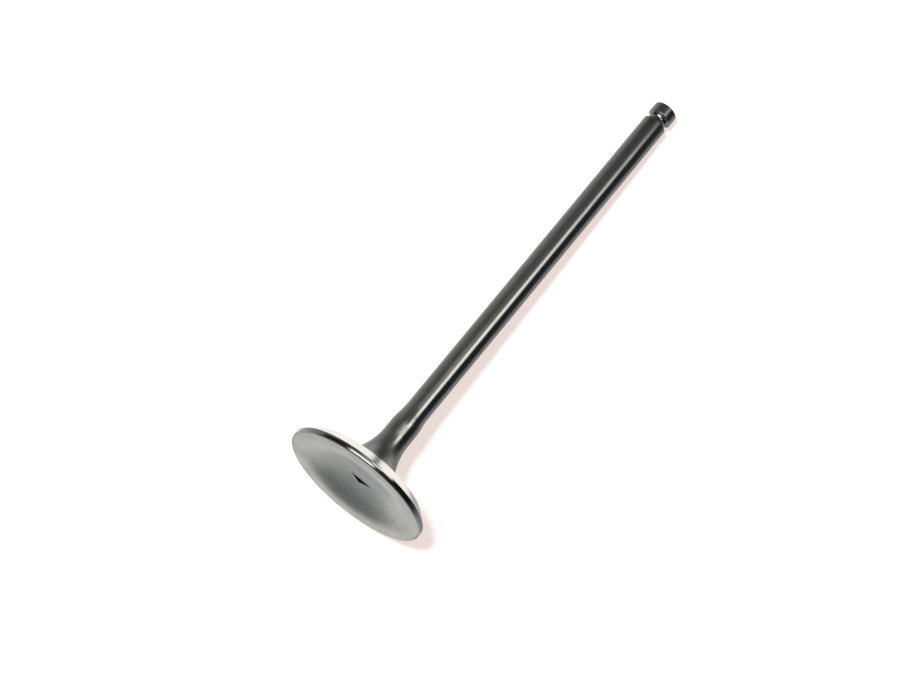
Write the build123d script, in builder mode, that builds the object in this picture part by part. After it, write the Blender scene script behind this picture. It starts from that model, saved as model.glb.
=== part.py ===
from build123d import *
import os
from math import cos, radians, sin, sqrt, tan

# Intake valve of a four-valve petrol engine, forged and ground from one piece.
# Millimetres. The origin is the middle of the combustion face and +Z runs up the stem.

# head
head_dia = 33.0
face_break = 0.2          # 45 degree break between the face and the rim
rim_height = 1.2          # from the face up to the lower edge of the seat
seat_angle = 45.0         # seat, measured from the face plane
seat_span = 2.0           # radial width of the seat
back_angle = 12.0         # back of the head, measured from the face plane

# dished face
land_width = 1.9          # flat ring at the rim that the valve stands on
dish_angle = 13.5         # slope of the dish wall
dish_blend_width = 3.1    # radial width of the round between land and wall
dish_wall_width = 2.9     # radial width of the straight wall
dish_floor_angle = 12.0   # slope at the edge of the round floor

# centre mark: a small three-cornered nick in the floor of the dish
mark_length = 5.3         # along its straight side
mark_width = 2.2          # from the straight side to the corner
mark_setback = 0.45       # straight side, behind the axis
mark_depth = 0.6
mark_draft = 20.0         # lean of its walls

# neck and stem
neck_dia = 6.3
neck_top = 17.0
head_fillet = 4.2         # round where the back of the head turns up
neck_fillet = 15.0        # long round that runs into the neck
neck_fillet_turn = 30.0   # part of the turn made by the long round
stem_dia = 5.5
stem_start = 21.2
overall_length = 112.0

# stem end
tip_chamfer = 0.2
groove_radius = 1.0       # section of the round keeper groove
groove_floor_dia = 4.2
groove_center_from_tip = 3.5
groove_edge_round = 0.15

head_r = head_dia / 2
face_r = head_r - face_break
land_r = face_r - land_width
wall_outer_r = land_r - dish_blend_width
wall_inner_r = wall_outer_r - dish_wall_width
seat_inner_r = head_r - seat_span
seat_top = rim_height + seat_span * tan(radians(seat_angle))
neck_r = neck_dia / 2
stem_r = stem_dia / 2

# dish: rolled round from the land, straight wall, shallow round floor
blend_radius = dish_blend_width / sin(radians(dish_angle))
wall_outer_z = blend_radius * (1 - cos(radians(dish_angle)))
wall_inner_z = wall_outer_z + dish_wall_width * tan(radians(dish_angle))
floor_radius = wall_inner_r / sin(radians(dish_floor_angle))
floor_center_z = wall_inner_z - floor_radius * cos(radians(dish_floor_angle))
dish_top = floor_center_z + floor_radius
mark_tip_z = floor_center_z + sqrt(floor_radius**2 - (mark_length / 2) ** 2 - mark_setback**2)

# neck: the two rounds leave the back of the head at back_angle
full_turn = radians(90 - back_angle)
long_turn = radians(neck_fillet_turn)
back_inner_r = (
    neck_r
    + neck_fillet * (1 - cos(long_turn))
    + head_fillet * (cos(long_turn) - cos(full_turn))
)
back_inner_z = seat_top + (seat_inner_r - back_inner_r) * tan(radians(back_angle))
neck_start = (
    back_inner_z
    + neck_fillet * sin(long_turn)
    + head_fillet * (sin(full_turn) - sin(long_turn))
)

# keeper groove: where the round section meets the stem
groove_z = overall_length - groove_center_from_tip
groove_axis_r = groove_floor_dia / 2 + groove_radius
groove_half = sqrt(groove_radius**2 - (groove_axis_r - stem_r) ** 2)

with BuildPart() as valve:
    with BuildSketch(Plane.XZ) as section:
        with BuildLine() as outline:
            dish_floor = RadiusArc((0, dish_top), (wall_inner_r, wall_inner_z), floor_radius)
            dish_wall = Line(dish_floor @ 1, (wall_outer_r, wall_outer_z))
            dish_blend = JernArc((land_r, 0), (-1, 0), blend_radius, -dish_angle)
            land = Line((land_r, 0), (face_r, 0))
            edge_break = Line(land @ 1, (head_r, face_break))
            rim = Line(edge_break @ 1, (head_r, rim_height))
            seat = Line(rim @ 1, (seat_inner_r, seat_top))
            back = Line(seat @ 1, (back_inner_r, back_inner_z))
            long_round = JernArc((neck_r, neck_start), (0, -1), neck_fillet, neck_fillet_turn)
            short_round = JernArc(
                long_round @ 1, long_round % 1, head_fillet, 90 - back_angle - neck_fillet_turn
            )
            neck = Line((neck_r, neck_start), (neck_r, neck_top))
            taper = Line(neck @ 1, (stem_r, stem_start))
            stem = Line(taper @ 1, (stem_r, groove_z - groove_half))
            groove = RadiusArc(stem @ 1, (stem_r, groove_z + groove_half), groove_radius)
            button = Line(groove @ 1, (stem_r, overall_length - tip_chamfer))
            tip_break = Line(button @ 1, (stem_r - tip_chamfer, overall_length))
            tip_face = Line(tip_break @ 1, (0, overall_length))
            center_line = Line(tip_face @ 1, dish_floor @ 0)
        make_face()
        groove_edges = section.vertices().sort_by_distance((stem_r, groove_z))[:2]
        fillet(groove_edges, groove_edge_round)
    revolve(axis=Axis.Z)
    # the nick starts level with its two long corners and goes up into the floor
    with BuildSketch(Plane.XY.offset(mark_tip_z)):
        with Locations((0, -mark_setback)):
            Polygon((-mark_length / 2, 0), (mark_length / 2, 0), (0, mark_width), align=None)
    extrude(amount=dish_top - mark_tip_z + mark_depth, taper=mark_draft, mode=Mode.SUBTRACT)

valve.part.label = "valve"

os.makedirs("parts", exist_ok=True)
export_step(valve.part, "parts/valve.step")
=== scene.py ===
"""Intake valve of a petrol engine: one turned and ground steel piece, dressed for show."""

from __future__ import annotations

import logging
from dataclasses import dataclass, field
from enum import Enum
from math import atan2, cos, hypot, pi, radians, sin, sqrt, tan

import bmesh
import bpy
from mathutils import Matrix, Vector

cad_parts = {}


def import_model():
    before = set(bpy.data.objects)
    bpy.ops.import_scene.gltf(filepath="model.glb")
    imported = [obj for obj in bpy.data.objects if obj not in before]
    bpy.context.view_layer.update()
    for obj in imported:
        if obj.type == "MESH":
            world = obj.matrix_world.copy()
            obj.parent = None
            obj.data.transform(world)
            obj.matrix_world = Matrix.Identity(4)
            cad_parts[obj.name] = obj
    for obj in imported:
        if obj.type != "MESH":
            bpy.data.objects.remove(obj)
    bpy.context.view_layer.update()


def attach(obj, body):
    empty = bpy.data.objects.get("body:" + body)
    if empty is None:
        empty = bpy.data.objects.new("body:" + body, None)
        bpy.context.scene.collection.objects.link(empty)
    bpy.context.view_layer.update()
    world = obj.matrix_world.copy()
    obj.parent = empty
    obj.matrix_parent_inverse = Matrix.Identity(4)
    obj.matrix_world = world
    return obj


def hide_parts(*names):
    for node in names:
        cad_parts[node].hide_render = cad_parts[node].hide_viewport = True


LOG = logging.getLogger("valve")
MM = 0.001
HALF_TURN = 180.0
FULL_TURN = 360.0
MERGE_DISTANCE = 1e-4
CUT_TOLERANCE = 1e-5
NOISE_MIDDLE = 0.5
# the numbers of a Mix node's colour sockets
MIX_FIRST, MIX_SECOND, MIX_RESULT = 6, 7, 2
Colour = tuple[float, float, float]
Tones = tuple[tuple[float, Colour], ...]
Socket = bpy.types.NodeSocket


class Zone(Enum):
    """The surfaces of the valve, each with its own finish."""

    DISH = "dish"
    MARK = "centre_mark"
    RIM = "rim"
    SEAT = "seat"
    BACK = "head_back"
    NECK = "neck"
    STEM = "stem"
    GROOVE = "keeper_groove"
    TIP = "tip"
    TIP_BREAK = "tip_break"


# ---------------------------------------------------------------- shader helpers


def solid(colour: Colour) -> tuple[float, float, float, float]:
    """Gives a colour full cover."""
    return (*colour, 1.0)


def bare_material(name: str) -> tuple[bpy.types.Material, Wiring]:
    """Makes a material that has no nodes yet.

    Args:
        name: the material's name.

    Returns:
        The material and its wiring.
    """
    made = bpy.data.materials.new(name)
    made.use_nodes = True
    made.node_tree.nodes.clear()
    return made, Wiring(made.node_tree)


@dataclass
class Wiring:
    """A node tree with short calls to add and join its nodes."""

    tree: bpy.types.NodeTree

    def add(self, kind: str, **settings: object) -> bpy.types.Node:
        """Adds a node and sets its plain properties.

        Args:
            kind: the node type's own name.
            **settings: properties of the node, by name.

        Returns:
            The new node.
        """
        node = self.tree.nodes.new(kind)
        for name, value in settings.items():
            setattr(node, name, value)
        return node

    def put(self, node: bpy.types.Node, name: str | int, value: object) -> None:
        """Gives an input a value, or joins it to an output.

        Args:
            node: the node that has the input.
            name: the input's name or number.
            value: an output socket, or a number, vector or colour.
        """
        socket = node.inputs[name]
        if isinstance(value, Socket):
            self.tree.links.new(value, socket)
        else:
            socket.default_value = value

    def end(self, kind: str, surface: Socket) -> None:
        """Joins a surface to a new output node."""
        self.put(self.add(kind), "Surface", surface)

    def calc(self, work: str, *values: object, clamp: bool = False) -> Socket:
        """Adds a Math node.

        Args:
            work: the operation, such as ADD or MULTIPLY.
            *values: its inputs in order, sockets or numbers.
            clamp: keeps the result between 0 and 1.

        Returns:
            The node's output.
        """
        node = self.add("ShaderNodeMath", operation=work, use_clamp=clamp)
        for place, value in enumerate(values):
            self.put(node, place, value)
        return node.outputs[0]

    def axes(self, place: Socket) -> tuple[Socket, ...]:
        """Splits a place into its X, Y and Z.

        Args:
            place: the place, as a vector.

        Returns:
            The three sockets.
        """
        node = self.add("ShaderNodeSeparateXYZ")
        self.put(node, 0, place)
        return tuple(node.outputs)

    def reach(self, place: Socket) -> Socket:
        """Measures how far a place is from the valve's axis.

        Args:
            place: the place, as a vector.

        Returns:
            The distance's socket.
        """
        x, y, _ = self.axes(place)
        squares = self.calc("ADD", self.calc("MULTIPLY", x, x), self.calc("MULTIPLY", y, y))
        return self.calc("SQRT", squares)

    def noise(self, values: dict[str, object], dimensions: str = "3D") -> Socket:
        """Adds a Noise Texture node.

        Args:
            values: its inputs, by name.
            dimensions: 1D along a line, or 3D.

        Returns:
            The noise, which swings about the middle.
        """
        node = self.add("ShaderNodeTexNoise", noise_dimensions=dimensions)
        for name, value in values.items():
            self.put(node, name, value)
        return node.outputs[0]

    def swing(self, noise: Socket, depth: object) -> Socket:
        """Turns a noise into one that swings about 0, as deep as asked."""
        return self.calc("MULTIPLY", self.calc("SUBTRACT", noise, NOISE_MIDDLE), depth)

    def spread(
        self, value: Socket, low: object, high: object, to_low: float = 0.0, to_high: float = 1.0
    ) -> Socket:
        """Turns one range of numbers smoothly into another.

        Args:
            value: the socket that is read.
            low: start of the range that is read.
            high: end of the range that is read.
            to_low: result at the start.
            to_high: result at the end.

        Returns:
            The result's socket.
        """
        node = self.add("ShaderNodeMapRange", interpolation_type="SMOOTHSTEP")
        names = ("Value", "From Min", "From Max", "To Min", "To Max")
        for name, number in zip(names, (value, low, high, to_low, to_high)):
            self.put(node, name, number)
        return node.outputs["Result"]

    def blend(self, share: object, first: object, second: object, kind: str = "MIX") -> Socket:
        """Passes from one colour to another.

        Args:
            share: 0 for the first colour and 1 for the second.
            first: a colour or its socket.
            second: a colour or its socket.
            kind: how the second is laid over the first.

        Returns:
            The colour's socket.
        """
        mix = self.add("ShaderNodeMix", data_type="RGBA", blend_type=kind)
        self.put(mix, "Factor", share)
        self.put(mix, MIX_FIRST, first)
        self.put(mix, MIX_SECOND, second)
        return mix.outputs[MIX_RESULT]

    def tint(self, colour: object, strength: Socket) -> Socket:
        """Makes a colour lighter and darker by a number near 1."""
        return self.blend(1.0, colour, strength, "MULTIPLY")


class EffectGroup:
    """Base of the shared effects: a shader group with named inputs and outputs."""

    title = "effect"
    numbers: dict[str, float] = {}
    results: tuple[str, ...] = ("Height",)

    def __init__(self) -> None:
        """Makes the group once."""
        self.tree = bpy.data.node_groups.new(self.title, "ShaderNodeTree")
        face = self.tree.interface
        face.new_socket("Vector", in_out="INPUT", socket_type="NodeSocketVector")
        for name, value in self.numbers.items():
            made = face.new_socket(name, in_out="INPUT", socket_type="NodeSocketFloat")
            made.default_value = value
        for name in self.results:
            face.new_socket(name, in_out="OUTPUT", socket_type="NodeSocketFloat")
        self.wires = Wiring(self.tree)
        self.given = self.wires.add("NodeGroupInput").outputs
        self.sink = self.wires.add("NodeGroupOutput")
        self.draw()

    def draw(self) -> None:
        """Joins the nodes of the effect."""

    def use(self, wires: Wiring, vector: Socket, **numbers: float) -> Socket:
        """Puts the group into a material.

        Args:
            wires: the material's nodes.
            vector: the position that the effect reads.
            **numbers: values for its inputs, with _ for a blank.

        Returns:
            The effect's result.
        """
        node = wires.add("ShaderNodeGroup", node_tree=self.tree)
        wires.put(node, "Vector", vector)
        for name, value in numbers.items():
            wires.put(node, name.replace("_", " "), value)
        return node.outputs[0]


class TurningRings(EffectGroup):
    """Fine rings that a lathe tool leaves round the valve's axis."""

    title = "turning_rings"
    numbers = {"Pitch": 0.0003, "Unevenness": 0.5}
    line_detail = 3.0
    cloud_scale = 260.0

    def draw(self) -> None:
        """Rings by distance from the axis, broken up by a slow noise."""
        w, given = self.wires, self.given
        along = w.calc("DIVIDE", w.reach(given["Vector"]), given["Pitch"])
        lines = w.noise({"W": along, "Scale": 1.0, "Detail": self.line_detail}, "1D")
        cloud = w.noise({"Vector": given["Vector"], "Scale": self.cloud_scale})
        uneven = w.swing(cloud, given["Unevenness"])
        w.put(self.sink, "Height", w.calc("ADD", lines, uneven))


class GrindingLines(EffectGroup):
    """Fine lines round the stem from centreless grinding."""

    title = "grinding_lines"
    numbers = {"Pitch": 0.00012, "Drift": 0.00005}
    line_detail = 2.0
    cloud_scale = 180.0

    def draw(self) -> None:
        """Lines by height, with a slight drift round the stem."""
        w, given = self.wires, self.given
        height = w.axes(given["Vector"])[2]
        cloud = w.noise({"Vector": given["Vector"], "Scale": self.cloud_scale})
        slip = w.swing(cloud, given["Drift"])
        along = w.calc("DIVIDE", w.calc("ADD", height, slip), given["Pitch"])
        lines = w.noise({"W": along, "Scale": 1.0, "Detail": self.line_detail}, "1D")
        w.put(self.sink, "Height", lines)


class Mottle(EffectGroup):
    """Faint clouds of tone left on steel by handling and oil."""

    title = "mottle"
    numbers = {"Size": 0.004, "Depth": 0.1}
    cloud_detail = 4.0

    def draw(self) -> None:
        """A soft noise round 1, as deep as asked."""
        w, given = self.wires, self.given
        scale = w.calc("DIVIDE", 1.0, given["Size"])
        cloud = w.noise({"Vector": given["Vector"], "Scale": scale, "Detail": self.cloud_detail})
        w.put(self.sink, "Height", w.calc("ADD", 1.0, w.swing(cloud, given["Depth"])))


class RingZone(EffectGroup):
    """Passes from 0 to 1 between two distances from the valve's axis."""

    title = "ring_zone"
    numbers = {"Inner": 0.01, "Outer": 0.012}
    results = ("Share",)

    def draw(self) -> None:
        """Compares the distance from the axis with the two radii."""
        w, given = self.wires, self.given
        share = w.spread(w.reach(given["Vector"]), given["Inner"], given["Outer"])
        w.put(self.sink, "Share", share)


class RiseZone(EffectGroup):
    """Passes from 0 to 1 between two heights above the valve's face."""

    title = "rise_zone"
    numbers = {"Low": 0.01, "High": 0.014}
    results = ("Share",)

    def draw(self) -> None:
        """Compares the height with the two heights."""
        w, given = self.wires, self.given
        share = w.spread(w.axes(given["Vector"])[2], given["Low"], given["High"])
        w.put(self.sink, "Share", share)


@dataclass
class EffectKit:
    """The shared shader effects, made once."""

    rings: TurningRings = field(default_factory=TurningRings)
    grinding: GrindingLines = field(default_factory=GrindingLines)
    mottle: Mottle = field(default_factory=Mottle)
    ring_zone: RingZone = field(default_factory=RingZone)
    rise_zone: RiseZone = field(default_factory=RiseZone)


@dataclass(frozen=True)
class SteelFinish:
    """How one surface of the valve is finished. Sizes are in metres."""

    name: str
    colour: Colour
    roughness: float
    roughness_swing: float = 0.04
    mottle_size: float = 0.004
    mottle_depth: float = 0.08
    line_pitch: float = 0.0003
    line_height: float = 0.0000006
    round_lines: bool = True

    def make(self, kit: EffectKit) -> bpy.types.Material:
        """Makes the material.

        Args:
            kit: the shared effects.

        Returns:
            The finished material.
        """
        material = bpy.data.materials.new(self.name)
        material.use_nodes = True
        w = Wiring(material.node_tree)
        steel = material.node_tree.nodes["Principled BSDF"]
        place = w.add("ShaderNodeTexCoord").outputs["Object"]
        clouds = kit.mottle.use(w, place, Size=self.mottle_size, Depth=self.mottle_depth)
        w.put(steel, "Base Color", w.tint(self.tone(kit, w, place), clouds))
        w.put(steel, "Metallic", 1.0)
        effect = kit.rings if self.round_lines else kit.grinding
        lines = effect.use(w, place, Pitch=self.line_pitch)
        swing = w.swing(lines, self.roughness_swing)
        w.put(steel, "Roughness", w.calc("ADD", self.sheen(kit, w, place), swing))
        bump = w.add("ShaderNodeBump")
        w.put(bump, "Height", lines)
        w.put(bump, "Distance", self.line_height)
        w.put(bump, "Strength", 1.0)
        w.put(steel, "Normal", bump.outputs[0])
        return material

    def tone(self, kit: EffectKit, w: Wiring, place: Socket) -> object:
        """Gives the colour before the clouds.

        Args:
            kit: the shared effects.
            w: the material's nodes.
            place: position on the piece.

        Returns:
            A colour, or a colour socket.
        """
        return solid(self.colour)

    def sheen(self, kit: EffectKit, w: Wiring, place: Socket) -> object:
        """Gives the roughness before the lines.

        Args:
            kit: the shared effects.
            w: the material's nodes.
            place: position on the piece.

        Returns:
            A number, or a number socket.
        """
        return self.roughness

    def polish(self, w: Wiring, share: Socket, other: float) -> Socket:
        """Passes from the surface's roughness to another one."""
        drop = w.calc("MULTIPLY", share, self.roughness - other)
        return w.calc("SUBTRACT", self.roughness, drop)


@dataclass(frozen=True)
class DishedFinish(SteelFinish):
    """The satin dish, which is darker in its middle and passes to a lighter colour and a slightly
    lower roughness towards the land.

    Its own radii and its edge's width are in millimetres.
    """

    land_colour: Colour = (0.43, 0.43, 0.41)
    land_roughness: float = 0.34
    dull_radius: float = 4.0
    bright_radius: float = 15.0
    # painted shade: a dark line round the land's outer edge
    edge_radius: float = 15.95
    edge_width: float = 0.25
    edge_painted_shade: float = 0.62

    def share(self, kit: EffectKit, w: Wiring, place: Socket) -> Socket:
        """Tells how far a place has the land's finish, 0 in the dish and 1 on the land."""
        inner, outer = self.dull_radius * MM, self.bright_radius * MM
        return kit.ring_zone.use(w, place, Inner=inner, Outer=outer)

    def tone(self, kit: EffectKit, w: Wiring, place: Socket) -> object:
        """Mixes the dish's colour into the land's, and darkens the land's outer edge with a
        painted dark line of shade.

        Args:
            kit: the shared effects.
            w: the material's nodes.
            place: position on the piece.

        Returns:
            The colour's socket.
        """
        steel = w.blend(self.share(kit, w, place), solid(self.colour), solid(self.land_colour))
        # painted shade along the land's outer edge
        inner, outer = self.edge_radius * MM, (self.edge_radius + self.edge_width) * MM
        edge = kit.ring_zone.use(w, place, Inner=inner, Outer=outer)
        shade = w.calc("SUBTRACT", 1.0, w.calc("MULTIPLY", edge, 1.0 - self.edge_painted_shade))
        return w.tint(steel, shade)

    def sheen(self, kit: EffectKit, w: Wiring, place: Socket) -> object:
        """Mixes the dish's roughness into the land's."""
        return self.polish(w, self.share(kit, w, place), self.land_roughness)


@dataclass(frozen=True)
class RunoutFinish(SteelFinish):
    """The rounds under the head, polished towards the neck. Their heights are in millimetres."""

    dull_height: float = 9.0
    bright_height: float = 14.0
    bright_roughness: float = 0.17

    def sheen(self, kit: EffectKit, w: Wiring, place: Socket) -> object:
        """Lowers the roughness with the height above the face.

        Args:
            kit: the shared effects.
            w: the material's nodes.
            place: position on the piece.

        Returns:
            The roughness socket.
        """
        low, high = self.dull_height * MM, self.bright_height * MM
        share = kit.rise_zone.use(w, place, Low=low, High=high)
        return self.polish(w, share, self.bright_roughness)


# ---------------------------------------------------------------- the valve


def place_shape(
    name: str, shape: bmesh.types.BMesh, materials: list[bpy.types.Material]
) -> bpy.types.Object:
    """Turns a shape into an object of the scene.

    Args:
        name: the object's name.
        shape: the shape, which is used up.
        materials: its materials, in the order of the faces' numbers.

    Returns:
        The new object.
    """
    data = bpy.data.meshes.new(name)
    shape.to_mesh(data)
    shape.free()
    for material in materials:
        data.materials.append(material)
    piece = bpy.data.objects.new(name, data)
    bpy.context.scene.collection.objects.link(piece)
    return piece


@dataclass
class OutlinePen:
    """Draws half of a turned outline in a bmesh, in the XZ plane, and spins it."""

    mesh: bmesh.types.BMesh
    point: bmesh.types.BMVert | None = None

    def start(self, radius: float, height: float) -> None:
        """Sets the pen down at a distance from the axis and a height above the face."""
        self.point = bmesh.ops.create_vert(self.mesh, co=(radius, 0.0, height))["vert"][0]

    def line(self, radius: float, height: float, steps: int = 1) -> None:
        """Draws a straight run to a point.

        Args:
            radius: distance of its end from the axis.
            height: height of its end above the face.
            steps: how many edges the run has.
        """
        here = self.point.co.copy()
        step = (Vector((radius, 0.0, height)) - here) / steps
        for _ in range(steps):
            made = bmesh.ops.extrude_vert_indiv(self.mesh, verts=[self.point])["verts"]
            bmesh.ops.translate(self.mesh, verts=made, vec=step)
            self.point = made[0]

    def arc(self, centre: tuple[float, float], end: tuple[float, float], finest: float) -> None:
        """Draws an arc round a centre until it points at an end, the short way.

        Args:
            centre: radius and height of the arc's middle.
            end: radius and height of its end.
            finest: the widest turn of one edge, in degrees.
        """
        from_angle = atan2(self.point.co.z - centre[1], self.point.co.x - centre[0])
        to_angle = atan2(end[1] - centre[1], end[0] - centre[0])
        turn = (to_angle - from_angle + pi) % (2 * pi) - pi
        made = bmesh.ops.spin(
            self.mesh,
            geom=[self.point],
            cent=(centre[0], 0.0, centre[1]),
            axis=(0.0, 1.0, 0.0),
            angle=-turn,
            steps=max(2, int(abs(turn) / radians(finest)) + 1),
        )
        self.point = next(v for v in made["geom_last"] if isinstance(v, bmesh.types.BMVert))

    def spin(self, facets: int) -> None:
        """Spins the outline a quarter turn about the axis and mirrors it twice.

        Args:
            facets: facets round the whole piece.
        """
        shape = self.mesh
        bmesh.ops.spin(
            shape,
            geom=shape.verts[:] + shape.edges[:],
            cent=(0, 0, 0),
            axis=(0, 0, 1),
            angle=pi / 2,
            steps=facets // 4,
        )
        for side in ("X", "Y"):
            whole = shape.verts[:] + shape.edges[:] + shape.faces[:]
            bmesh.ops.mirror(shape, geom=whole, merge_dist=MERGE_DISTANCE, axis=side)
        bmesh.ops.remove_doubles(shape, verts=shape.verts[:], dist=MERGE_DISTANCE)
        bmesh.ops.recalc_face_normals(shape, faces=shape.faces[:])


@dataclass
class Valve:
    """The valve's own sizes, and the steps that build and dress it.

    Lengths are in millimetres and angles in degrees. The fields that end in turn_step set how
    fine an arc is drawn, and those that end in margin tell one surface from the next.
    """

    head_radius: float = 16.5
    face_break: float = 0.2
    rim_height: float = 1.2
    rim_crown: float = 4.0
    rim_turn_step: float = 1.0
    seat_angle: float = 45.0
    seat_span: float = 2.0
    back_angle: float = 12.0
    land_width: float = 1.9
    dish_angle: float = 13.5
    dish_blend_width: float = 3.1
    dish_wall_width: float = 2.9
    dish_floor_angle: float = 12.0
    dish_turn_step: float = 0.6
    dish_zone_share: float = 0.6
    dish_margin: float = 0.05
    mark_length: float = 5.3
    mark_width: float = 2.2
    mark_setback: float = 0.45
    mark_depth: float = 0.6
    mark_draft: float = 20.0
    mark_cut_share: float = 0.7
    mark_margin: float = 0.03
    neck_radius: float = 3.15
    neck_top: float = 17.0
    neck_tail: float = 0.3
    neck_margin: float = 0.005
    head_fillet: float = 4.2
    head_fillet_turn_step: float = 4.0
    neck_fillet: float = 15.0
    neck_fillet_turn: float = 30.0
    neck_fillet_turn_step: float = 1.5
    neck_steps: tuple[tuple[float, float], ...] = (
        (0.035, 17.55), (0.05, 17.8), (0.2, 18.95), (0.27, 19.45),
    )
    stem_radius: float = 2.75
    stem_start: float = 21.2
    overall_length: float = 112.0
    tip_chamfer: float = 0.2
    tip_margin: float = 0.01
    groove_radius: float = 1.0
    groove_floor_radius: float = 2.1
    groove_centre_from_tip: float = 3.5
    groove_lip_round: float = 0.15
    groove_turn_step: float = 6.0
    groove_margin: float = 0.02
    facets: int = 256
    sharp_angle: float = 9.0

    @property
    def land_radius(self) -> float:
        """Radius where the flat land meets the dish."""
        return self.head_radius - self.face_break - self.land_width

    @property
    def dish_wall_radius(self) -> float:
        """Radius where the dish's straight wall meets its round floor."""
        return self.land_radius - self.dish_blend_width - self.dish_wall_width

    @property
    def dish_top(self) -> float:
        """Height of the middle of the dish above the face.

        Returns:
            The height.
        """
        slope = tan(radians(self.dish_angle))
        blend_rise = self.dish_blend_width * tan(radians(self.dish_angle / 2))
        floor_rise = self.dish_wall_radius * tan(radians(self.dish_floor_angle / 2))
        return blend_rise + self.dish_wall_width * slope + floor_rise

    @property
    def seat_top(self) -> float:
        """Height where the seat meets the back of the head."""
        return self.rim_height + self.seat_span * tan(radians(self.seat_angle))

    @property
    def neck_end(self) -> float:
        """Height where the neck starts to narrow to the stem."""
        return self.neck_top + self.neck_tail

    @property
    def groove_height(self) -> float:
        """Height of the middle of the keeper groove."""
        return self.overall_length - self.groove_centre_from_tip

    def draw_face(self, pen: OutlinePen) -> None:
        """Draws the dish and the land, from the axis outwards.

        Args:
            pen: the outline's pen.
        """
        dish, floor = radians(self.dish_angle), radians(self.dish_floor_angle)
        land_r = self.land_radius
        wall_r = land_r - self.dish_blend_width
        floor_r = self.dish_wall_radius
        blend = self.dish_blend_width / sin(dish)
        wall_z = blend * (1 - cos(dish))
        bowl = floor_r / sin(floor)
        floor_z = self.dish_top - bowl * (1 - cos(floor))
        pen.start(0.0, self.dish_top)
        pen.arc((0.0, self.dish_top - bowl), (floor_r, floor_z), self.dish_turn_step)
        pen.line(wall_r, wall_z, steps=4)
        pen.arc((land_r, blend), (land_r, 0.0), self.dish_turn_step)
        pen.line(self.head_radius - self.face_break, 0.0, steps=2)

    def draw_rim(self, pen: OutlinePen) -> None:
        """Draws the rim, which is very slightly crowned.

        Args:
            pen: the outline's pen.
        """
        half = (self.rim_height - self.face_break) / 2
        crown = half / sin(radians(self.rim_crown))
        centre = (self.head_radius - crown, self.face_break + half)
        drop = crown * (1 - cos(radians(self.rim_crown)))
        pen.line(self.head_radius - drop, self.face_break)
        pen.arc(centre, (self.head_radius - drop, self.rim_height), self.rim_turn_step)

    def draw_head(self, pen: OutlinePen) -> None:
        """Draws the seat and the back of the head up to the top of the neck.

        Args:
            pen: the outline's pen.
        """
        seat_r = self.head_radius - self.seat_span
        pen.line(seat_r, self.seat_top, steps=3)
        back = radians(self.back_angle)
        turn = radians(self.neck_fillet_turn)
        lean = radians(90.0 - self.neck_fillet_turn)
        meet_r = self.neck_radius + self.neck_fillet * (1 - cos(turn))
        head_centre_r = meet_r + self.head_fillet * sin(lean)
        head_start_r = head_centre_r - self.head_fillet * sin(back)
        head_start = self.seat_top + (seat_r - head_start_r) * tan(back)
        head_centre = head_start + self.head_fillet * cos(back)
        meet = head_centre - self.head_fillet * cos(lean)
        neck_start = meet + self.neck_fillet * sin(turn)
        neck_centre_r = self.neck_radius + self.neck_fillet
        pen.line(head_start_r, head_start, steps=6)
        pen.arc((head_centre_r, head_centre), (meet_r, meet), self.head_fillet_turn_step)
        neck_foot = (self.neck_radius, neck_start)
        pen.arc((neck_centre_r, neck_start), neck_foot, self.neck_fillet_turn_step)
        pen.line(self.neck_radius, self.neck_end, steps=3)

    def draw_stem(self, pen: OutlinePen) -> None:
        """Draws the taper, the stem, the keeper groove and the tip.

        Args:
            pen: the outline's pen.
        """
        middle = self.groove_height
        centre = (self.groove_floor_radius + self.groove_radius, middle)
        lip = self.groove_lip_round
        lip_r = self.stem_radius - lip
        across = centre[0] - lip_r
        reach = sqrt((self.groove_radius + lip) ** 2 - across**2)
        share = lip / (self.groove_radius + lip)
        meet_r = lip_r + share * across
        meet = reach * (1 - share)
        fine = self.groove_turn_step
        for inset, height in self.neck_steps:
            pen.line(self.neck_radius - inset, height)
        pen.line(self.stem_radius, self.stem_start, steps=3)
        pen.line(self.stem_radius, middle - reach, steps=8)
        pen.arc((lip_r, middle - reach), (meet_r, middle - meet), fine)
        pen.arc(centre, (self.groove_floor_radius, middle), fine)
        pen.arc(centre, (meet_r, middle + meet), fine)
        pen.arc((lip_r, middle + reach), (self.stem_radius, middle + reach), fine)
        pen.line(self.stem_radius, self.overall_length - self.tip_chamfer, steps=2)
        pen.line(self.stem_radius - self.tip_chamfer, self.overall_length)
        pen.line(0.0, self.overall_length, steps=4)

    def in_dish(self, place: Vector, radius: float) -> bool:
        """Tells whether a place is in the dish, inside a radius."""
        return hypot(place.x, place.y) < radius and place.z < self.dish_top + self.dish_margin

    def split_along(self, shape: bmesh.types.BMesh, foot: Vector, outward: Vector) -> None:
        """Splits the floor of the dish along one side of the centre mark.

        Args:
            shape: the turned valve.
            foot: a point of the side.
            outward: the side's direction away from the mark.
        """
        radius = self.mark_length * self.mark_cut_share
        floor = [f for f in shape.faces if self.in_dish(f.calc_center_median(), radius)]
        corners = {v for f in floor for v in f.verts}
        edges = {e for f in floor for e in f.edges}
        bmesh.ops.bisect_plane(
            shape,
            geom=[*corners, *edges, *floor],
            dist=CUT_TOLERANCE,
            plane_co=foot,
            plane_no=outward,
        )

    def in_mark(self, place: Vector, sides: list[tuple[Vector, Vector]]) -> bool:
        """Tells whether a place in the dish is within all the sides of the centre mark."""
        within = all((place.xy - foot.xy).dot(outward.xy) < 0 for foot, outward in sides)
        return within and self.in_dish(place, self.mark_length)

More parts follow.
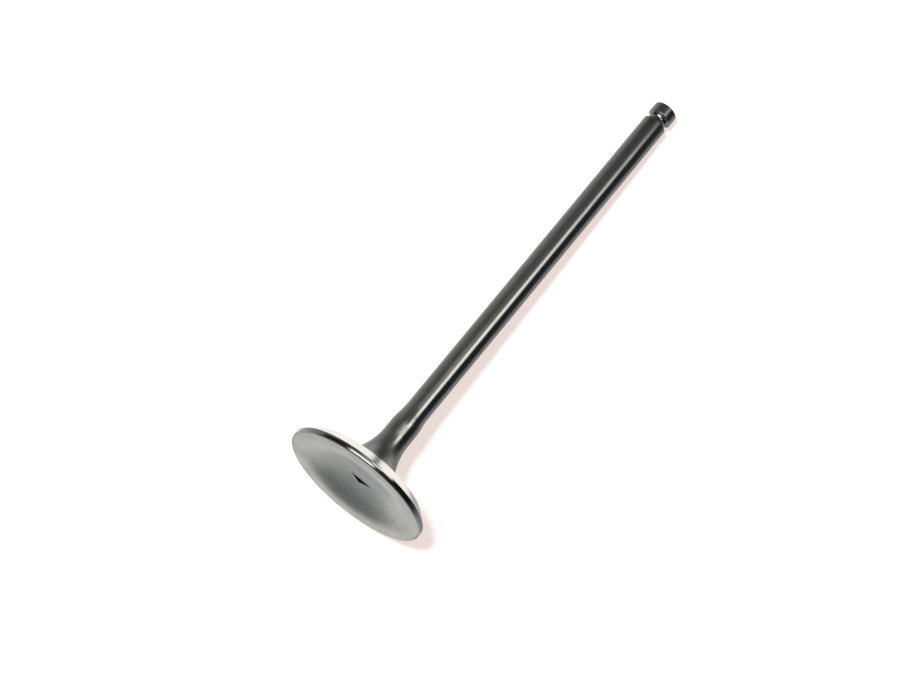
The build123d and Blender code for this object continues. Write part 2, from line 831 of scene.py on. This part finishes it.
    def cut_mark(self, shape: bmesh.types.BMesh) -> None:
        """Cuts the three-cornered centre mark into the floor of the dish.

        Args:
            shape: the turned valve.
        """
        left = Vector((-self.mark_length / 2, -self.mark_setback, 0.0))
        right = Vector((self.mark_length / 2, -self.mark_setback, 0.0))
        corner = Vector((0.0, self.mark_width - self.mark_setback, 0.0))
        up = Vector((0.0, 0.0, 1.0))
        runs = ((left, right), (right, corner), (corner, left))
        sides = [(a, (b - a).cross(up).normalized()) for a, b in runs]
        for foot, outward in sides:
            self.split_along(shape, foot, outward)
        inside = [f for f in shape.faces if self.in_mark(f.calc_center_median(), sides)]
        made = bmesh.ops.extrude_face_region(shape, geom=inside)["geom"]
        bmesh.ops.delete(shape, geom=inside, context="FACES")
        floor = [v for v in made if isinstance(v, bmesh.types.BMVert)]
        base, rise, fall = (side.length for side in (right - left, corner - right, left - corner))
        around = base + rise + fall
        heart = (corner * base + left * rise + right * fall) / around
        inner_radius = self.mark_length * self.mark_width / around
        shrink = 1 - self.mark_depth * tan(radians(self.mark_draft)) / inner_radius
        about_heart = Matrix.Translation(-heart)
        bmesh.ops.scale(shape, vec=(shrink, shrink, 0.0), space=about_heart, verts=floor)
        lift = (0.0, 0.0, self.dish_top + self.mark_depth)
        bmesh.ops.translate(shape, verts=floor, vec=lift)

    def zone_at(self, radius: float, height: float) -> Zone:
        """Names the surface at a place.

        Args:
            radius: distance from the axis.
            height: height above the face.

        Returns:
            The zone there.
        """
        deep = radius < self.dish_zone_share * self.head_radius and height < self.seat_top
        if radius < self.head_radius - self.face_break and (height < self.rim_height or deep):
            return Zone.MARK if height > self.dish_top + self.mark_margin else Zone.DISH
        if height < self.rim_height:
            return Zone.RIM
        if height < self.seat_top:
            return Zone.SEAT
        if radius > self.neck_radius + self.neck_margin:
            return Zone.BACK
        if height < self.neck_end:
            return Zone.NECK
        if height > self.overall_length - self.tip_margin:
            return Zone.TIP
        if height > self.overall_length - self.tip_chamfer:
            return Zone.TIP_BREAK
        in_groove = abs(height - self.groove_height) < self.groove_radius
        if in_groove and radius < self.stem_radius - self.groove_margin:
            return Zone.GROOVE
        return Zone.STEM

    def build(self, finishes: dict[Zone, bpy.types.Material]) -> bpy.types.Object:
        """Builds the piece and gives each surface its finish.

        Args:
            finishes: the material of each zone.

        Returns:
            The valve's object.
        """
        shape = bmesh.new()
        pen = OutlinePen(shape)
        self.draw_face(pen)
        self.draw_rim(pen)
        self.draw_head(pen)
        self.draw_stem(pen)
        pen.spin(self.facets)
        self.cut_mark(shape)
        order = list(finishes)
        for part in shape.faces:
            middle = part.calc_center_median()
            zone = self.zone_at(hypot(middle.x, middle.y), middle.z)
            part.material_index = order.index(zone)
            part.smooth = True
        bmesh.ops.scale(shape, vec=(MM, MM, MM), verts=shape.verts[:])
        piece = place_shape("ground_valve", shape, [finishes[zone] for zone in order])
        piece.data.set_sharp_from_angle(angle=radians(self.sharp_angle))
        return piece


# ---------------------------------------------------------------- studio


@dataclass(frozen=True)
class Card:
    """A glowing or dark piece of the tent round the valve, by direction in degrees: a glowing
    card is a painted reflection of a lamp, a dark one painted shade.
    """

    azimuth: tuple[float, float]
    elevation: tuple[float, float]
    colour: Colour
    side_feather: float
    lower_feather: float
    upper_feather: float

    def cover(self, w: Wiring, azimuth: Socket, elevation: Socket) -> Socket:
        """Marks where the card is.

        Args:
            w: the tent cloth's nodes.
            azimuth: direction round the valve.
            elevation: direction up from the level.

        Returns:
            A socket that is 1 on the card and 0 off it.
        """
        side, low, high = self.side_feather, self.lower_feather, self.upper_feather
        left, right = self.azimuth
        bottom, top = self.elevation
        from_left = w.spread(azimuth, left - side, left + side, 0, 1)
        to_right = w.spread(azimuth, right - side, right + side, 1, 0)
        from_bottom = w.spread(elevation, bottom - low, bottom + low, 0, 1)
        to_top = w.spread(elevation, top - high, top + high, 1, 0)
        across = w.calc("MULTIPLY", from_left, to_right)
        return w.calc("MULTIPLY", across, w.calc("MULTIPLY", from_bottom, to_top))


@dataclass
class Tent:
    """The tent that the steel mirrors, a glowing shell of painted reflections. Lengths are in
    metres and directions in degrees.

    The walls and the crown pass through painted tones by direction round the valve. Below the
    horizon the tent is a painted reflection of the floor. The cards lie over all of it, in order.
    """

    radius: float = 0.35
    centre: float = 0.03
    segments: int = 96
    rings: int = 48
    crown_edge: tuple[float, float] = (43.0, 50.0)
    horizon: tuple[float, float] = (-14.0, 2.0)
    rear_edge: tuple[float, float] = (95.0, 115.0)
    foot_edge: tuple[float, float] = (-46.0, -24.0)
    front_floor: Colour = (0.04, 0.045, 0.045)
    rear_floor: Colour = (1.13, 1.11, 1.08)
    foot: Colour = (0.22, 0.245, 0.245)
    # painted reflections round the valve: light tones stand in for the white floor behind, dark
    # ones for shade
    wall_tones: Tones = (
        (-180.0, (1.05, 1.04, 1.03)),
        (-150.0, (1.05, 1.04, 1.03)),
        (-135.0, (0.90, 0.90, 0.89)),
        (-115.0, (0.70, 0.71, 0.70)),
        (-100.0, (0.54, 0.555, 0.54)),
        (-80.0, (0.47, 0.485, 0.47)),
        (-52.0, (0.215, 0.235, 0.215)),
        (-36.0, (0.20, 0.215, 0.20)),
        (-18.0, (0.20, 0.215, 0.20)),
        (4.0, (0.28, 0.28, 0.27)),
        (32.0, (0.16, 0.16, 0.16)),
        (44.0, (0.04, 0.042, 0.047)),
        (74.0, (0.045, 0.048, 0.056)),
        (88.0, (0.09, 0.095, 0.105)),
        (100.0, (0.34, 0.35, 0.37)),
        (114.0, (0.66, 0.66, 0.68)),
        (135.0, (0.60, 0.60, 0.61)),
        (154.0, (0.40, 0.40, 0.40)),
        (170.0, (0.60, 0.60, 0.60)),
    )
    crown_tones: Tones = (
        (-180.0, (1.13, 1.12, 1.11)),
        (-130.0, (1.13, 1.12, 1.11)),
        (-90.0, (1.15, 1.16, 1.15)),
        (-47.0, (0.17, 0.175, 0.17)),
        (-20.0, (0.05, 0.055, 0.05)),
        (15.0, (0.06, 0.06, 0.06)),
        (47.0, (0.27, 0.27, 0.28)),
        (90.0, (1.20, 1.20, 1.21)),
        (130.0, (1.13, 1.12, 1.11)),
    )
    # painted reflections: the bright cards stand in for lamps and the dark ones for shade, as the
    # steel sees them
    cards: tuple[Card, ...] = (
        Card((-88.0, -42.0), (-16.0, 15.5), (0.03, 0.032, 0.03), 8.0, 4.0, 3.0),
        Card((6.0, 80.0), (-16.0, 15.5), (0.02, 0.022, 0.022), 5.0, 4.0, 3.0),
        Card((-78.0, -8.0), (37.0, 47.0), (0.12, 0.13, 0.125), 10.0, 4.0, 4.0),
        Card((-20.5, 2.0), (14.0, 20.5), (1.22, 1.21, 1.15), 7.5, 4.0, 8.5),
        Card((-3.0, 14.0), (14.3, 18.2), (3.8, 3.35, 3.15), 3.5, 1.0, 0.8),
        Card((10.5, 33.5), (16.0, 33.5), (3.8, 3.5, 3.3), 5.0, 2.0, 12.0),
        Card((-39.0, 1.0), (-42.0, 10.6), (4.5, 4.35, 4.2), 5.0, 6.0, 1.6),
    )

    def ring_of_tones(self, w: Wiring, azimuth: Socket, tones: Tones) -> Socket:
        """Passes through tones round the valve.

        Args:
            w: the nodes.
            azimuth: direction round the valve.
            tones: each tone and its direction.

        Returns:
            The colour's socket.
        """
        ring = w.add("ShaderNodeValToRGB")
        w.put(ring, 0, w.calc("DIVIDE", w.calc("ADD", azimuth, HALF_TURN), FULL_TURN))
        stops = ring.color_ramp.elements
        for end in stops:
            end.color = solid(tones[0][1])
        for angle, tone in tones[1:]:
            stops.new((angle + HALF_TURN) / FULL_TURN).color = solid(tone)
        return ring.outputs[0]

    def ground(self, w: Wiring, azimuth: Socket, elevation: Socket) -> Socket:
        """Gives the floor's side of the tent, a painted reflection of the floor: light behind,
        dark in front, grey at the foot.

        Args:
            w: the nodes.
            azimuth: direction round the valve.
            elevation: direction up from the level.

        Returns:
            The colour's socket.
        """
        near, far = self.rear_edge
        right = w.spread(azimuth, near, far, 0, 1)
        left = w.spread(azimuth, -far, -near, 1, 0)
        behind = w.calc("MAXIMUM", right, left)
        around = w.blend(behind, solid(self.front_floor), solid(self.rear_floor))
        return w.blend(w.spread(elevation, *self.foot_edge, 1, 0), around, solid(self.foot))

    def cloth(self) -> bpy.types.Material:
        """Makes the tent's cloth: its wall by direction, the floor's side and the cards.

        Returns:
            The material.
        """
        cloth, w = bare_material("tent_painted_reflections")
        x, y, z = w.axes(w.add("ShaderNodeTexCoord").outputs["Object"])
        azimuth = w.calc("DEGREES", w.calc("ARCTAN2", x, w.calc("MULTIPLY", y, -1.0)))
        height = w.calc("DIVIDE", w.calc("SUBTRACT", z, self.centre), self.radius)
        elevation = w.calc("DEGREES", w.calc("ARCSINE", height))
        walls = self.ring_of_tones(w, azimuth, self.wall_tones)
        crown = self.ring_of_tones(w, azimuth, self.crown_tones)
        wall = w.blend(w.spread(elevation, *self.crown_edge, 0, 1), walls, crown)
        below = w.spread(elevation, *self.horizon, 1, 0)
        tone = w.blend(below, wall, self.ground(w, azimuth, elevation))
        for card in self.cards:
            tone = w.blend(card.cover(w, azimuth, elevation), tone, solid(card.colour))
        glow = w.add("ShaderNodeEmission")
        w.put(glow, "Color", tone)
        w.end("ShaderNodeOutputMaterial", glow.outputs[0])
        return cloth

    def build(self) -> None:
        """Makes the tent, which is seen only in the steel."""
        shell = bmesh.new()
        bmesh.ops.create_uvsphere(
            shell, u_segments=self.segments, v_segments=self.rings, radius=self.radius
        )
        bmesh.ops.translate(shell, verts=shell.verts[:], vec=(0, 0, self.centre))
        bmesh.ops.reverse_faces(shell, faces=shell.faces[:])
        piece = place_shape("tent", shell, [self.cloth()])
        piece.visible_camera = piece.visible_diffuse = piece.visible_shadow = False


@dataclass(frozen=True)
class Floor:
    """A pale floor that is seen only from its upper side, with light of its own.

    Lengths are in metres and the tilt is in radians.
    """

    name: str
    glow: Colour
    tilt: float
    place: tuple[float, float, float]
    throws_light: bool
    paint: Colour = (0.8, 0.8, 0.8)
    half_width: float = 3.0

    def cloth(self) -> bpy.types.Material:
        """Makes the floor's material.

        Returns:
            The material.
        """
        cloth, w = bare_material(self.name)
        matt = w.add("ShaderNodeBsdfDiffuse")
        w.put(matt, "Color", solid(self.paint))
        shine = w.add("ShaderNodeEmission")
        w.put(shine, "Color", solid(self.glow))
        both = w.add("ShaderNodeAddShader")
        w.put(both, 0, matt.outputs[0])
        w.put(both, 1, shine.outputs[0])
        clear = w.add("ShaderNodeBsdfTransparent")
        mix = w.add("ShaderNodeMixShader")
        w.put(mix, 0, w.add("ShaderNodeNewGeometry").outputs["Backfacing"])
        w.put(mix, 1, both.outputs[0])
        w.put(mix, 2, clear.outputs[0])
        w.end("ShaderNodeOutputMaterial", mix.outputs[0])
        return cloth

    def build(self) -> None:
        """Lays the floor."""
        sheet = bmesh.new()
        bmesh.ops.create_grid(sheet, x_segments=1, y_segments=1, size=self.half_width)
        tilt = Matrix.Rotation(self.tilt, 3, "X")
        bmesh.ops.rotate(sheet, verts=sheet.verts[:], cent=(0, 0, 0), matrix=tilt)
        bmesh.ops.translate(sheet, verts=sheet.verts[:], vec=self.place)
        piece = place_shape(self.name, sheet, [self.cloth()])
        piece.visible_glossy = piece.visible_transmission = piece.visible_shadow = False
        piece.visible_diffuse = self.throws_light


@dataclass(frozen=True)
class Lamp:
    """A round soft lamp. Lengths are in metres.

    Its strength is how bright its face is, where 1 is white.
    """

    name: str
    place: Vector
    width: float
    strength: float
    colour: Colour = (1.0, 1.0, 1.0)

    def hang(self, target: Vector) -> None:
        """Hangs the lamp.

        Args:
            target: what it points at.
        """
        light = bpy.data.lights.new(self.name, "AREA")
        light.shape = "DISK"
        light.size = self.width
        light.energy = self.strength * pi * pi * (self.width / 2) ** 2
        light.color = self.colour
        hung = bpy.data.objects.new(self.name, light)
        hung.location = self.place
        hung.rotation_mode = "QUATERNION"
        hung.rotation_quaternion = (target - self.place).to_track_quat("-Z", "Y")
        hung.visible_camera = hung.visible_glossy = False
        bpy.context.scene.collection.objects.link(hung)


@dataclass
class Camera:
    """The camera, below the face and looking up along the stem.

    Angles are in degrees. The lens, its sensor and the aim are in millimetres, and the other
    lengths in metres.
    """

    lens: float = 119.45
    sensor_width: float = 36.0
    nearest: float = 0.01
    farthest: float = 20.0
    aim: tuple[float, float, float] = (-3.02, 0.0, 40.39)
    distance: float = 0.6404
    elevation: float = -21.73
    roll: float = 39.67

    def build(self) -> None:
        """Sets up the camera and makes it the scene's own."""
        data = bpy.data.cameras.new("camera")
        data.lens = self.lens
        data.sensor_width = self.sensor_width
        data.clip_start = self.nearest
        data.clip_end = self.farthest
        rise = radians(self.elevation)
        right = Vector((1, 0, 0))
        back = Vector((0.0, -cos(rise), sin(rise)))
        level = Matrix((right, back.cross(right), back)).transposed()
        turn = level @ Matrix.Rotation(radians(self.roll), 3, "Z")
        seat = bpy.data.objects.new("camera", data)
        stand = Vector(self.aim) * MM + back * self.distance
        seat.matrix_world = Matrix.Translation(stand) @ turn.to_4x4()
        bpy.context.scene.collection.objects.link(seat)
        bpy.context.scene.camera = seat


@dataclass
class Studio:
    """The floors, the tent, the lamps and the camera round one valve.

    The gaps are in millimetres and the lamps' lengths in metres.
    """

    valve: Valve
    lying_glow: Colour = (0.67, 0.56, 0.52)
    lying_gap: float = 0.2
    tip_gap: float = 1.0
    standing_glow: Colour = (0.90, 0.89, 0.88)
    standing_gap: float = 0.3
    lamp_aim: tuple[float, float, float] = (0.0, 0.0, 0.05)
    side_lamp_way: tuple[float, float, float] = (-0.235, -1.0, -0.33)
    side_lamp_distance: float = 1.1
    top_lamp_place: tuple[float, float, float] = (-0.3, -0.25, 1.2)
    fill_light: float = 0.15

    def floors(self) -> None:
        """Makes the floor that the valve lies on and the one that it can stand on."""
        valve = self.valve
        rim_middle = (valve.face_break + valve.rim_height) / 2
        rise = valve.head_radius - valve.stem_radius - self.tip_gap
        run = valve.overall_length - valve.tip_chamfer - rim_middle
        # the sheet's upper side turns towards the valve
        tilt = radians(90.0) + atan2(rise, run)
        under_rim = (0.0, (valve.head_radius + self.lying_gap) * MM, rim_middle * MM)
        Floor("lying_floor", self.lying_glow, tilt, under_rim, throws_light=True).build()
        under_face = (0.0, 0.0, -self.standing_gap * MM)
        Floor("standing_floor", self.standing_glow, 0.0, under_face, throws_light=False).build()

    def lamps(self) -> None:
        """Hangs the lamps."""
        aim = Vector(self.lamp_aim)
        side = aim + Vector(self.side_lamp_way) * self.side_lamp_distance
        Lamp("side_softbox", side, width=0.15, strength=165.0).hang(aim)
        Lamp("top_softbox", Vector(self.top_lamp_place), width=0.3, strength=26.0).hang(aim)

    def world(self) -> None:
        """Makes the surround: white where it is seen, and a dim fill light elsewhere."""
        world = bpy.data.worlds.new("surround")
        bpy.context.scene.world = world
        world.use_nodes = True
        w = Wiring(world.node_tree)
        w.tree.nodes.clear()
        ray = w.add("ShaderNodeLightPath").outputs
        mirrored = w.calc("ADD", ray["Is Glossy Ray"], ray["Is Transmission Ray"])
        seen = w.calc("ADD", ray["Is Camera Ray"], mirrored, clamp=True)
        lit = w.calc("MULTIPLY", seen, 1.0 - self.fill_light)
        sky = w.add("ShaderNodeBackground")
        w.put(sky, "Color", (1.0, 1.0, 1.0, 1.0))
        w.put(sky, "Strength", w.calc("ADD", self.fill_light, lit))
        w.end("ShaderNodeOutputWorld", sky.outputs[0])

    def build(self) -> None:
        """Sets the whole studio up."""
        Tent().build()
        self.floors()
        self.lamps()
        self.world()
        Camera().build()
        bpy.context.scene.view_settings.view_transform = "Standard"


def finishes(kit: EffectKit) -> dict[Zone, bpy.types.Material]:
    """Makes the finish of each surface.

    Args:
        kit: the shared effects.

    Returns:
        The material of each zone.
    """
    dark = (0.235, 0.245, 0.235)
    ground_bar = {"mottle_size": 0.0035, "mottle_depth": 0.45, "round_lines": False}
    plain = {"round_lines": False}
    made = {
        Zone.DISH: DishedFinish(
            "dish_steel", (0.256, 0.284, 0.279), 0.36, mottle_size=0.0055, mottle_depth=0.75
        ),
        # painted shade: the centre mark's pocket is coloured near black so that it reads as a
        # shaded hollow
        Zone.MARK: SteelFinish("mark_painted_shade", (0.05, 0.052, 0.05), 0.5, **plain),
        Zone.RIM: SteelFinish("rim_steel", dark, 0.10, **plain),
        Zone.SEAT: SteelFinish("seat_steel", (0.80, 0.76, 0.72), 0.20),
        Zone.BACK: RunoutFinish("back_steel", dark, 0.31),
        Zone.NECK: SteelFinish("neck_steel", dark, 0.17, **ground_bar),
        Zone.STEM: SteelFinish("stem_steel", dark, 0.17, **ground_bar),
        # painted shade: the keeper groove is coloured a little darker than the stem, as shade in
        # the groove
        Zone.GROOVE: SteelFinish("groove_painted_shade", (0.20, 0.205, 0.20), 0.20, **plain),
        Zone.TIP: SteelFinish("tip_steel", dark, 0.2),
        # painted shade: the tip's chamfer is coloured near black, so its edge shows no bright
        # reflection
        Zone.TIP_BREAK: SteelFinish("tip_break_painted_shade", (0.06, 0.065, 0.06), 0.35, **plain),
    }
    return {zone: finish.make(kit) for zone, finish in made.items()}


def main() -> None:
    """Builds the valve and the studio."""
    logging.basicConfig(level=logging.INFO, format="%(name)s: %(message)s")
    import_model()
    shape = Valve()
    valve = shape.build(finishes(EffectKit()))
    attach(valve, "root")
    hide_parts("valve")
    LOG.info("%s: %d faces", valve.name, len(valve.data.polygons))
    Studio(shape).build()


if __name__ == "__main__":
    main()
